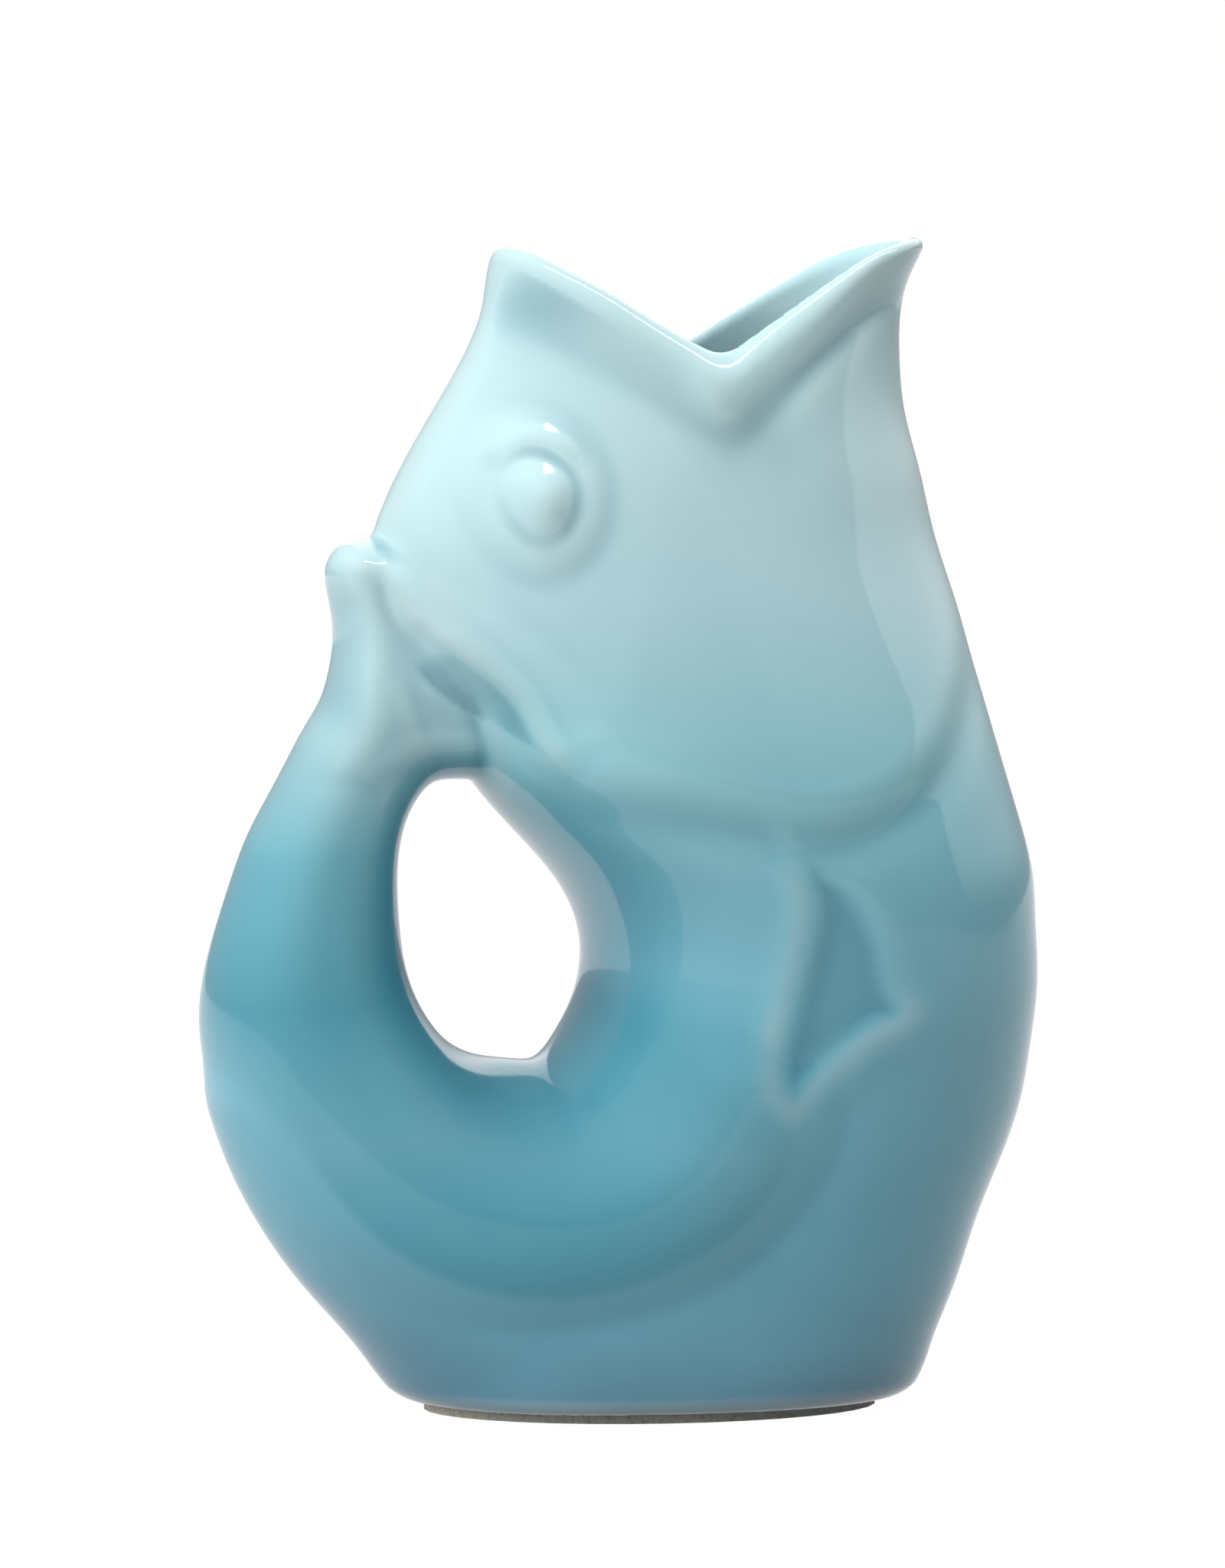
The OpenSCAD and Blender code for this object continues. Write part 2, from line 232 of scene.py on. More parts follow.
def round_hole(x, z):
    """Turn about the hole's middle, counted down round the tail, and distance from it."""
    dx, dz = x - HOLE_X, z - HOLE_Z
    turn = np.degrees(np.arctan2(dz, dx))
    return np.where(turn > 90, turn - 360, turn), np.hypot(dx, dz)


def tail_loop(x, z):
    """Signed square of the stand-off of the tail that bends round the hole."""
    turn, radius = round_hole(x, z)
    rad = np.radians(turn)
    inner = 1 / np.hypot(np.cos(rad) / (HOLE_L / 2), np.sin(rad) / (HOLE_H / 2))
    swell = 1.0
    for at, spread, amount in HOLE_SWELLS:
        swell = swell + amount * bell(turn - at, spread)
    inner = inner * swell
    outer = jug_h * curve(TAIL[::-1, 0], TAIL[::-1, 1], turn)
    deep = half_d * curve(TAIL[::-1, 0], TAIL[::-1, 2], turn)
    reach = (radius - (inner + outer) / 2) / ((outer - inner) / 2)
    power = TAIL_POWER - BEND_SOFTER * bell(turn - BEND_TURN, BEND_SPREAD) * (reach < 0)
    square = deep ** 2 * (1 - np.abs(reach) ** power)
    fade = step(*TAIL_ROOT, turn) * step(*TAIL_TIP, turn)
    return np.where(fade > 0, square - (1 - fade) * (deep ** 2 + NO_TAIL), -NO_TAIL)

# The tail fin's outline, and its raised edge where the fin lies on the head.
FIN_OUTLINE = [(at_x(a), at_z(ROW_SCALE * b + ROW_SHIFT)) for a, b in (
    (-0.400, 0.545), (-0.382, 0.579), (-0.362, 0.605), (-0.350, 0.632), (-0.346, 0.652),
    (-0.3485, 0.684), (-0.3555, 0.714), (-0.3515, 0.728), (-0.338, 0.738), (-0.315, 0.743),
    (-0.287, 0.737), (-0.255, 0.715), (-0.225, 0.684), (-0.200, 0.667), (-0.160, 0.650),
    (-0.130, 0.633), (-0.100, 0.615), (-0.085, 0.593), (-0.070, 0.568), (-0.062, 0.538),
    (-0.145, 0.537), (-0.212, 0.541), (-0.262, 0.534), (-0.325, 0.514),
)]
FIN_OUTLINE = path_points(FIN_OUTLINE + FIN_OUTLINE[:1], 4)[:-1]
FIN_EDGE = path_points([
    (-59.5, 189.5), (-55.6, 187.4), (-52.3, 181.3), (-50.0, 177.3), (-43.3, 171.7),
    (-36.5, 165.7), (-29.9, 158.5), (-25.9, 150.8), (-22.9, 145.6), (-19.2, 141.4),
])
# The ridge where the tail's end turns into the hollow behind the raised edge.
FIN_RIDGE = path_points([
    (-66.0, 192.0), (-63.6, 186.0), (-60.6, 180.0), (-57.0, 174.0), (-53.0, 168.4),
    (-49.0, 163.4), (-44.6, 159.2), (-38.6, 155.4), (-32.4, 151.0), (-26.0, 146.4),
    (-20.5, 141.8),
])
# The gill edge, from the nape round the cheek to the breast.
GILL = path_points([
    (-34.0, 146.5), (-18.0, 140.9), (4.5, 137.6), (19.0, 135.0), (31.0, 133.8), (41.5, 135.7),
    (50.0, 140.0), (57.0, 146.0), (63.5, 155.4), (70.0, 169.4), (76.0, 185.5),
])
# The side fin's outline, and how far it sits below where it was first drawn.
SIDE_FIN_DROP = 2.2
SIDE_FIN = [(x, z - SIDE_FIN_DROP) for x, z in (
    (24.5, 131.5), (28.0, 130.2), (34.5, 127.6), (41.0, 123.4), (46.0, 116.5), (49.4, 108.6),
    (51.8, 100.0), (54.2, 92.5), (51.0, 88.6), (45.0, 85.5), (38.5, 80.2), (31.5, 74.0),
    (25.5, 70.2), (21.5, 74.0), (19.4, 81.0), (19.6, 88.5), (21.8, 98.0), (24.2, 107.5),
    (25.6, 115.0), (25.2, 123.5), (24.5, 131.5),
)]
SIDE_FIN = path_points(SIDE_FIN, 5)[:-1]
EYE_X, EYE_Z = -26.0, 203.6
EYE_L, EYE_H = 14.0, 17.6
MOUTH_X, MOUTH_Z = 16.5, 233.6
# Height of the lip from the back corner to the mouth's corner, and on to the spout.
LIP_BACK = np.array([
    (-40, 262.0), (-31, 260.6), (-26.5, 259.0), (-22.6, 257.0), (-17.4, 253.7), (-6.2, 246.9),
    (2.5, 241.2), (9.7, 237.0), (16.5, 233.0), (30, 224.0),
])
LIP_FRONT = np.array([
    (0, 223.0), (16.5, 233.0), (27.8, 240.4), (35.8, 245.6), (45.4, 251.4), (51.4, 254.8),
    (61.5, 258.5), (68, 259.8), (80, 261.0),
])
LIP_CORNER = 5.0
# Share of a height under the lip that lies square to its slope.
LIP_SLOPE = 0.84
NO_LIP = -1e3
TINY = 1e-6


def lip_level(x):
    """Height of the mouth's edge above each place along the jug."""
    back = curve(LIP_BACK[:, 0], LIP_BACK[:, 1], x)
    front = curve(LIP_FRONT[:, 0], LIP_FRONT[:, 1], x)
    back = np.where(x > LIP_BACK[-1, 0], NO_LIP, back)
    front = np.where(x < LIP_FRONT[0, 0], NO_LIP, front)
    return smooth_max(back, front, LIP_CORNER)


# The eye's dome, steeper above its middle than below, its mound and its brow.
# Heights are in millimetres; ranges are shares of the eye's own half size.
DOME_RISE, DOME_OVER, DOME_UNDER = 4.2, 0.84, 1.1
DOME_SPREAD, DOME_ROUND = 1.12, 1.3
MOUND_RISE, MOUND_EDGE = 2.0, (2.35, 1.15)
BROW_RISE, BROW_OUTER, BROW_INNER, BROW_UP = 1.2, (1.85, 1.50), (0.9, 1.45), (0.55, 0.98)


def eye_relief(x, z):
    far = np.hypot((x - EYE_X) / (EYE_L / 2), (z - EYE_Z) / (EYE_H / 2))
    tall = np.where(z > EYE_Z, DOME_OVER, DOME_UNDER) * EYE_H / 2
    dome = np.hypot((x - EYE_X) / (EYE_L / 2), (z - EYE_Z) / tall)
    dome = DOME_RISE * np.maximum(1 - (dome / DOME_SPREAD) ** 2, 0) ** DOME_ROUND
    mound = MOUND_RISE * step(*MOUND_EDGE, far)
    up = (z - EYE_Z) / np.maximum(np.hypot(x - EYE_X, z - EYE_Z), TINY)
    brow = BROW_RISE * step(*BROW_OUTER, far) * step(*BROW_INNER, far) * step(*BROW_UP, up)
    return dome + mound + brow


# The cheek ends in a step at the gill edge, over a shallow throat.
CHEEK_RISE, CHEEK_FADE, CHEEK_STEP = 2.1, 18.0, (-7.5, 6.5)
THROAT_SINK, THROAT_OFF, THROAT_WIDE = 0.7, 7.0, 5.0
GILL_START, GILL_END = (0.0, 0.16), (1.0, 0.80)


def gill_relief(x, z):
    off, side, along = to_path(x, z, GILL)
    signed = off * side
    ends = step(*GILL_START, along) * step(*GILL_END, along)
    cheek = CHEEK_RISE * np.exp(-np.maximum(signed, 0) / CHEEK_FADE) * step(*CHEEK_STEP, signed)
    throat = -THROAT_SINK * bell(signed + THROAT_OFF, THROAT_WIDE)
    return ends * (cheek + throat)


# The side fin's rim, which dies away on its upper right, and its sunk face.
RIM_RISE, RIM_IN, RIM_WIDE = 1.0, 1.6, 5.4
FACE_SINK, FACE_EDGE = 0.5, (2.0, 11.0)
LEE_SHARE, LEE_X, LEE_Z, LEE_LEAN = 0.55, 36, 104, 0.55
LEE_EDGE, LEE_FOOT = (-6, 8), (88, 98)


def side_fin_relief(x, z):
    deep = inside_depth(x, z, SIDE_FIN)
    rim = RIM_RISE * bell(deep - RIM_IN, RIM_WIDE)
    lee = x - LEE_X + LEE_LEAN * (z - LEE_Z)
    rim = rim * (1 - LEE_SHARE * step(*LEE_EDGE, lee) * step(*LEE_FOOT, z))
    face = -FACE_SINK * step(*FACE_EDGE, deep)
    return rim + face


# The lip's roll and the groove under it, both crisper in front of the mouth's corner,
# and the knob and pit below that corner.
CRISP_FROM, CRISP_TO = 2.0, 22.0
ROLL_RISE, ROLL_H, ROLL_LESS, ROLL_SOFT, ROLL_CRISP = 1.4, 11.0, 5.0, 6.5, 2.6
NARROW_FROM, NARROW_TO = 8.0, 0.36
GROOVE_SINK, GROOVE_MORE, GROOVE_OFF, GROOVE_NEAR = 0.5, 0.3, 4.0, 1.6
GROOVE_WIDE, GROOVE_LESS = 6.0, 2.4
KNOB_RISE, KNOB_BACK, KNOB_DOWN, KNOB_TALL, KNOB_WIDE = 2.2, 1.0, 8.0, 1.2, 8.0
PIT_SINK, PIT_ON, PIT_DOWN, PIT_LONG, PIT_TALL, PIT_WIDE = 0.6, 6.0, 23, 1.1, 1.2, 10.0


def lip_relief(x, z):
    under = (lip_level(x) - z) * LIP_SLOPE
    front = step(MOUTH_X + CRISP_FROM, MOUTH_X + CRISP_TO, x)
    reach = ROLL_H - ROLL_LESS * step(MOUTH_X + NARROW_FROM, at_x(NARROW_TO), x)
    crisp = ROLL_CRISP * front
    roll = ROLL_RISE * step(reach + ROLL_SOFT - crisp, reach - ROLL_SOFT + crisp, under)
    groove = under - reach - GROOVE_OFF + GROOVE_NEAR * front
    groove = bell(groove, GROOVE_WIDE - GROOVE_LESS * front)
    groove = -(GROOVE_SINK + GROOVE_MORE * front) * groove
    knob = np.hypot(x - MOUTH_X + KNOB_BACK, (z - MOUTH_Z + KNOB_DOWN) / KNOB_TALL)
    knob = KNOB_RISE * bell(knob, KNOB_WIDE)
    pit = np.hypot((x - MOUTH_X - PIT_ON) / PIT_LONG, (z - MOUTH_Z + PIT_DOWN) / PIT_TALL)
    pit = -PIT_SINK * bell(pit, PIT_WIDE)
    return roll + groove + knob + pit


# Least stand-off of the fin's raised edge, along its line.
EDGE_ALONG, EDGE_LEAST = (0, 0.2, 0.5, 1), (13.0, 14.5, 22.0, 30.0)


def edge_stand():
    """How far the fin's raised edge stands off, along its line: just over the head."""
    x, z = FIN_EDGE.T
    along = np.linspace(0, 1, len(x))
    return np.maximum(stand_off(body_square(x, z)), curve(EDGE_ALONG, EDGE_LEAST, along))


EDGE_STAND = edge_stand()
POST_STAND, POST_MORE, POST_FOOT = 14.5, 5.3, (180, 153)
RIDGE_RISE, RIDGE_WIDE, RIDGE_FROM = 0.35, 2.2, (0.4, 0.55)
FLARE_POWER, FLARE_FALL, FLARE_LEAST = 1.5, 0.9, 4
FIN_ROUND, FIN_ROUND_LESS, FIN_NARROWS, FIN_OUT = 11.0, 3.0, (150, 165), -9


def fin_square(x, z):
    """The tail fin: a rounded post, a hollow behind its ridge, and a flare onto the head."""
    deep = inside_depth(x, z, FIN_OUTLINE)
    edge_off, edge_side, edge_along = to_path(x, z, FIN_EDGE)
    ridge_off, ridge_side, ridge_along = to_path(x, z, FIN_RIDGE)
    post = POST_STAND + POST_MORE * step(*POST_FOOT, z)
    stand = np.interp(edge_along, np.linspace(0, 1, len(FIN_EDGE)), EDGE_STAND)
    width = ridge_off + edge_off
    across = np.where(ridge_side > 0, ridge_off / np.maximum(width, TINY), 0.0)
    across = np.where(edge_side > 0, 1.0, across)
    flare = post + RIDGE_RISE * bell(ridge_off, RIDGE_WIDE) * step(*RIDGE_FROM, ridge_along)
    flare = flare + (stand - post) * across ** FLARE_POWER
    flare = flare - np.where(edge_side > 0, FLARE_FALL * edge_off, 0.0)
    rounding = FIN_ROUND - FIN_ROUND_LESS * step(*FIN_NARROWS, z)
    round_in = np.minimum(np.maximum(deep, FIN_OUT) / rounding, 1)
    return np.maximum(flare, FLARE_LEAST) ** 2 * (1 - (1 - round_in) ** 2)


# The bead along the fin's end: a crest on a broader swell that is longer on the head's side.
SWELL_RISE, SWELL_ON, SWELL_OFF = 0.9, 14.0, 4.5
CREST_RISE, CREST_WIDE, BEAD_ROUND = 1.1, 4.0, 1.6
BEAD_END, BEAD_LOW, BEAD_GROWS = (1.0, 0.86), 0.3, (0.15, 0.45)


def edge_bead(x, z):
    """Height of the rounded bead along the fin's end."""
    off, side, along = to_path(x, z, FIN_EDGE)
    broad = np.where(side > 0, off / SWELL_ON, off / SWELL_OFF)
    broad = SWELL_RISE * np.maximum(1 - broad ** 2, 0) ** BEAD_ROUND
    crest = CREST_RISE * np.maximum(1 - (off / CREST_WIDE) ** 2, 0) ** BEAD_ROUND
    grown = BEAD_LOW + (1 - BEAD_LOW) * step(*BEAD_GROWS, along)
    return (broad + crest) * step(*BEAD_END, along) * grown


# Glaze on the fin: drained off the bead, drained off the ridge with a painted highlight, and
# pooled in the hollow between them with painted shade.
BEAD_DRAIN, BEAD_THIN, BEAD_STOP = 0.7, 2.4, (1.0, 0.9)
LINE_DRAIN_AND_HIGHLIGHT, LINE_THIN, LINE_FROM, LINE_STOP = 0.3, 1.3, (0.44, 0.55), (1.0, 0.9)
HOLLOW_POOL_AND_SHADE, HOLLOW_EDGE, HOLLOW_RIDGE = 0.75, (0.8, 2.6), (0.0, 1.2)
HOLLOW_FROM, HOLLOW_STOP = (0.42, 0.52), (1.0, 0.96)


def fin_glaze_and_painted_light(x, z):
    """Glaze drained off the fin's raised edge, a painted highlight on its ridge, and pooled glaze
    with painted shade in the hollow behind it.
    """
    edge_off, edge_side, edge_along = to_path(x, z, FIN_EDGE)
    ridge_off, ridge_side, ridge_along = to_path(x, z, FIN_RIDGE)
    bead = bell(edge_off, BEAD_THIN) * step(*BEAD_STOP, edge_along)
    # The hollow between ridge and bead: pooled glaze and painted shade.
    hollow = step(*HOLLOW_EDGE, edge_off) * step(*HOLLOW_RIDGE, ridge_off)
    hollow = hollow * step(*HOLLOW_FROM, ridge_along)
    hollow = hollow * step(*HOLLOW_STOP, ridge_along) * step(*HOLLOW_STOP, edge_along)
    hollow = np.where((edge_side < 0) & (ridge_side > 0), hollow, 0.0)
    # The ridge line: drained glaze and a painted highlight.
    line = bell(ridge_off, LINE_THIN) * step(*LINE_FROM, ridge_along)
    line = line * step(*LINE_STOP, ridge_along)
    return BEAD_DRAIN * bead + LINE_DRAIN_AND_HIGHLIGHT * line - HOLLOW_POOL_AND_SHADE * hollow


# Glaze on the side fin, lighter along its lower and its back edge.
RIM_LIGHTER, LIGHTER_RIM_IN, LIGHTER_RIM_WIDE = 0.45, 2.0, 4.0
LIGHTER_RIM_LOW, LIGHTER_RIM_BACK, BACK_SHARE = (102, 88), (34, 25), 0.6
FACE_POOL, FACE_POOL_EDGE = 0.7, (3.5, 9.0)


def side_fin_glaze(x, z):
    """Glaze lighter along the side fin's lower and back rim, and pooled on its face."""
    deep = inside_depth(x, z, SIDE_FIN)
    # Lighter along the lower and the back rim only.
    drained = np.maximum(step(*LIGHTER_RIM_LOW, z), BACK_SHARE * step(*LIGHTER_RIM_BACK, x))
    rim = bell(deep - LIGHTER_RIM_IN, LIGHTER_RIM_WIDE) * drained
    return RIM_LIGHTER * rim - FACE_POOL * step(*FACE_POOL_EDGE, deep)


# Painted shade at the jaw: depth of each patch, its place, its stretch along the jug and its
# width.
JAW_SHADE_PATCHES = ((0.55, -21, 246, 1.3, 9.0), (0.3, 22.5, 214, 1.2, 8.5))


def jaw_painted_shade(x, z):
    """Painted shade under the lip, at the back of the jaw, and under the knob below the mouth's
    corner.
    """
    jaw_shade = 0.0
    for share, shade_x, shade_z, stretch, wide in JAW_SHADE_PATCHES:
        jaw_shade = jaw_shade - share * bell(np.hypot((x - shade_x) / stretch, z - shade_z), wide)
    return jaw_shade


# Where the tail's teal ends, and the body's painted floor reflection begins: turn round the
# hole in degrees, and radius.
UNREFLECTED_TAIL_EDGE = np.array([
    (-240, 130.0), (-185, 110.0), (-168, 78.0), (-156, 68.5), (-145, 68.5), (-117, 75.3),
    (-92, 77.6), (-69, 75.5), (-48, 71.4), (-39, 66.5), (-20, 52.0), (20, 40.0),
])
# Its edge is crisp below the hole, and softer up the tail and at the front.
GLAZE_EDGE, EDGE_UP_TAIL, EDGE_AHEAD = 1.6, 9, 8
UP_TAIL, AHEAD, GLAZE_FRONT = (-130, -165), (-52, -25), (-12, -48)
NAPE_TURN, NAPE_X = -200, (-30, -48)


def tail_without_painted_reflection(x, z):
    """Share of the tail's teal, without the painted floor reflection, on the tail and the bend
    below the hole.
    """
    turn, radius = round_hole(x, z)
    edge = curve(UNREFLECTED_TAIL_EDGE[:, 0], UNREFLECTED_TAIL_EDGE[:, 1], turn)
    soft = GLAZE_EDGE + EDGE_UP_TAIL * step(*UP_TAIL, turn) + EDGE_AHEAD * step(*AHEAD, turn)
    inside = step(soft, -soft, radius - edge)
    back = np.where(turn < NAPE_TURN, step(*NAPE_X, x), 1.0)
    return inside * back * step(*GLAZE_FRONT, turn)


# How widely the forms run into one another, in square millimetres.
SKIRT_BLEND = 700
TAIL_BLEND, CROOK_BLEND, CROOK_X, CROOK_Z, CROOK_WIDE = 600, 300, -17, 80, 11
FIN_BLEND, POST_BLEND, POST_X, POST_Z, POST_WIDE = 90, 650, -51, 178, 13
SKIRT_TOP, SKIRT_FALL = 0.25, 3
SKIRT_POWER = 2.3
HEAD_FROM, HEAD_TO = 140, 120
RELIEF_EDGE, BEAD_EDGE = 12, 8


def fields(x, z):
    """Signed squares of the stand-off: the glazed skin, and the plain form inside it."""
    body = body_square(x, z)
    skirt = loft(SKIRT, x, z, SKIRT_POWER) - SKIRT_FALL * np.maximum(z - at_z(SKIRT_TOP), 0) ** 2
    tail = tail_loop(x, z)
    corner = TAIL_BLEND + CROOK_BLEND * bell(np.hypot(x - CROOK_X, z - CROOK_Z), CROOK_WIDE)
    plain = smooth_max(smooth_max(body, skirt, SKIRT_BLEND), tail, corner)
    head_part = step(MOUTH_Z - HEAD_FROM, MOUTH_Z - HEAD_TO, z)
    relief = eye_relief(x, z) + gill_relief(x, z) + lip_relief(x, z) * head_part
    relief = relief + side_fin_relief(x, z)
    stand = stand_off(body)
    stand = stand + relief * step(0, RELIEF_EDGE, stand)
    dressed = np.sign(stand) * stand ** 2
    dressed = smooth_max(smooth_max(dressed, skirt, SKIRT_BLEND), tail, corner)
    post = FIN_BLEND + POST_BLEND * bell(np.hypot(x - POST_X, z - POST_Z), POST_WIDE)
    dressed = smooth_max(dressed, fin_square(x, z), post)
    stand = stand_off(dressed)
    stand = stand + edge_bead(x, z) * step(0, BEAD_EDGE, stand)
    return np.sign(stand) * stand ** 2, plain

# The two fields on a fine grid of the mid plane, with room around the jug.
GRID_STEP = 0.5
GRID_PAD = 14.0
grid_x = np.arange(low_corner[0] - GRID_PAD, high_corner[0] + GRID_PAD, GRID_STEP)
grid_z = np.arange(-GRID_PAD, jug_h + GRID_PAD, GRID_STEP)


def blurred(values, width):
    """The field with its small kinks rounded off."""
    reach = int(math.ceil(3 * width / GRID_STEP))
    kernel = bell(np.arange(-reach, reach + 1) * GRID_STEP, width * math.sqrt(2))
    kernel /= kernel.sum()
    for axis in (0, 1):
        padded = np.pad(values, [(reach, reach) if a == axis else (0, 0) for a in (0, 1)], "edge")
        values = sum(
            w * np.take(padded, np.arange(values.shape[axis]) + i, axis)
            for i, w in enumerate(kernel)
        )
    return values


# How far the kinks of the skin and of the plain form are rounded.
BLURS = (1.1, 1.5)
mesh_x, mesh_z = np.meshgrid(grid_x, grid_z, indexing="ij")
skin_field, plain_field = (blurred(f, w) for f, w in zip(fields(mesh_x, mesh_z), BLURS))


def with_slopes(field):
    return np.stack([field, *np.gradient(field, GRID_STEP)])


skin_stack, plain_stack = with_slopes(skin_field), with_slopes(plain_field)


def cubic_weights(t):
    return (
        ((2 - t) * t - 1) * t / 2, ((3 * t - 5) * t * t + 2) / 2,
        ((4 - 3 * t) * t + 1) * t / 2, (t - 1) * t * t / 2,
    )


# Kept clear of the grid's last line, so that every reading has its four neighbours.
GRID_END = 2.001


def sample(stack, x, z):
    """Cubic reading of a stack of fields at any places of the mid plane."""
    px = np.clip((x - grid_x[0]) / GRID_STEP, 1, len(grid_x) - GRID_END)
    pz = np.clip((z - grid_z[0]) / GRID_STEP, 1, len(grid_z) - GRID_END)
    ix, iz = px.astype(int), pz.astype(int)
    wx, wz = cubic_weights(px - ix), cubic_weights(pz - iz)
    total = 0.0
    for a in range(4):
        row = 0.0
        for b in range(4):
            row = row + stack[:, ix + a - 1, np.minimum(iz + b - 1, len(grid_z) - 1)] * wz[b]
        total = total + row * wx[a]
    return total


# The lip's rounding outside and inside, thinner at the spout and a little at the back corner.
LIP_OUT, LIP_THIN, LIP_IN = 5.6, 2.8, 2.3
BACK_THICK, BACK_CORNER, SPOUT_END = 0.6, (-30, -14), (62, 34)
BASE_ROUND = 3.2
FLOOR_T = 5.0
FLOOR_BLEND = 6.0
# Keeps the distance finite where the skin crosses the mid plane.
EVEN = 4.0


def skin_distance(stack, y):
    square, slope_x, slope_z = stack
    return (y * y - square) / np.sqrt(4 * y * y + slope_x ** 2 + slope_z ** 2 + EVEN)


def rounded_cut(a, b, r):
    """What two forms share, with the edge between them rounded."""
    return np.minimum(np.maximum(a, b), -r) + np.hypot(np.maximum(a + r, 0), np.maximum(b + r, 0))


def shell_distance(skin, plain, x, y, z):
    """Signed distance to the hollow jug, near its surface."""
    outer = rounded_cut(skin_distance(skin, y), foot_h - z, BASE_ROUND)
    thick = (BACK_THICK + (1 - BACK_THICK) * step(*BACK_CORNER, x)) * step(*SPOUT_END, x)
    lip_out = LIP_OUT - LIP_THIN * (1 - thick)
    outer = rounded_cut(outer, (z - lip_level(x)) * LIP_SLOPE, lip_out)
    inner = smooth_max(skin_distance(plain, y) + wall, foot_h + FLOOR_T - z, FLOOR_BLEND)
    return rounded_cut(outer, -inner, LIP_IN)


def distance(points):
    x, y, z = points.T
    return shell_distance(sample(skin_stack, x, z), sample(plain_stack, x, z), x, y, z)


SLOPE_REACH, POOL_REACH = 0.35, 2.0
# The curvature at which glaze neither drains nor pools, and the change that does so fully.
POOL_LEVEL, POOL_RANGE = 0.035, 0.26


def slope_at(points, reach=SLOPE_REACH):
    """Outward direction of the distance field."""
    out = np.empty_like(points)
    for axis in range(3):
        shift = np.zeros(3)
        shift[axis] = reach
        out[:, axis] = distance(points + shift) - distance(points - shift)
    return out / np.maximum(np.linalg.norm(out, axis=1, keepdims=True), TINY)


def pooling(points, reach=POOL_REACH):
    """How far the glaze has drained off a raised edge (up to 1) or pooled in a hollow (to -1)."""
    around = -6 * distance(points)
    for axis in range(3):
        shift = np.zeros(3)
        shift[axis] = reach
        around += distance(points + shift) + distance(points - shift)
    return np.clip((around / reach ** 2 - POOL_LEVEL) / POOL_RANGE, -1, 1)


# Cells of the distance field kept off the skin, room beside the jug, and rounds of drawing
# the points onto the skin.
BAND = 4
SIDE_ROOM = 8
DRAW_ROUNDS = 4


def shell_mesh(voxel):
    """Points and faces of the whole shell, drawn onto the surface."""
    pad = BAND * voxel
    low = np.array([low_corner[0] - pad, -half_d - SIDE_ROOM, foot_h - pad])
    high = np.array([high_corner[0] + pad, half_d + SIDE_ROOM, jug_h + pad])
    n = np.ceil((high - low) / voxel).astype(int) + 1
    n[1] += n[1] % 2 == 0
    axes = [low[i] + np.arange(n[i]) * voxel for i in range(3)]
    axes[1] = (np.arange(n[1]) - (n[1] - 1) / 2) * voxel
    gx, gz = np.meshgrid(axes[0], axes[2], indexing="ij")
    skin, plain = sample(skin_stack, gx, gz), sample(plain_stack, gx, gz)
    field = np.empty(tuple(n), np.float32)
    for j, y in enumerate(axes[1]):
        field[:, j, :] = shell_distance(skin, plain, gx, y, gz)
    grid = openvdb.FloatGrid(pad)
    grid.copyFromArray(np.clip(field, -pad, pad))
    points, quads = grid.convertToQuads(0.0)
    points = points.astype(float) * voxel + np.array([axes[0][0], axes[1][0], axes[2][0]])
    for _ in range(DRAW_ROUNDS):
        points -= np.clip(distance(points), -voxel, voxel)[:, None] * slope_at(points)
    return points, quads.tolist()


def add_mesh(name, points, faces):
    mesh = bpy.data.meshes.new(name)
    mesh.from_pydata(np.asarray(points) * MM, [], faces)
    obj = bpy.data.objects.new(name, mesh)
    bpy.context.scene.collection.objects.link(obj)
    return obj


def prism(outline, low_y, high_y):
    """A closed block over an outline in the mid plane."""
    outline = np.asarray(outline, float)
    x, z = outline.T
    if (x * np.roll(z, -1) - np.roll(x, -1) * z).sum() < 0:
        outline = outline[::-1]
    n = len(outline)
    points = [(a, y, b) for y in (low_y, high_y) for a, b in outline]
    faces = [list(range(n)), list(range(2 * n - 1, n - 1, -1))]
    faces += [[i, i + n, (i + 1) % n + n, (i + 1) % n] for i in range(n)]
    return add_mesh("block", points, faces)


def combined(obj, block, operation):
    cut = obj.modifiers.new("cut", "BOOLEAN")
    cut.object, cut.operation, cut.solver = block, operation, "MANIFOLD"
    solid = obj.evaluated_get(bpy.context.evaluated_depsgraph_get())
    mesh = bpy.data.meshes.new_from_object(solid)
    obj.modifiers.clear()
    return mesh


BESIDE = 200.0


def part_off(rest, outline, name, low_y=-BESIDE, high_y=BESIDE):
    """Takes what lies over an outline off the rest, as a piece of its own."""
    block = prism(outline, low_y, high_y)
    piece = bpy.data.objects.new(name, combined(rest, block, "INTERSECT"))
    bpy.context.scene.collection.objects.link(piece)
    rest.data = combined(rest, block, "DIFFERENCE")
    bpy.data.objects.remove(block)
    return piece


def ellipse(centre, size, grow, count=64):
    """An eye's outline, grown by a share."""
    turn = np.linspace(0, 2 * math.pi, count, endpoint=False)
    return np.stack([centre[0] + grow * size[0] / 2 * np.cos(turn),
                     centre[1] + grow * size[1] / 2 * np.sin(turn)], 1)


VOXEL = 1.2
# Beyond the jug, for the blocks that part the pieces.
FAR = 400.0
RIM_H = 13.0
FIN_REACH = 3.6
GILL_FROM = -20
EYE_EDGE, RING_EDGE = 1.08, 1.85
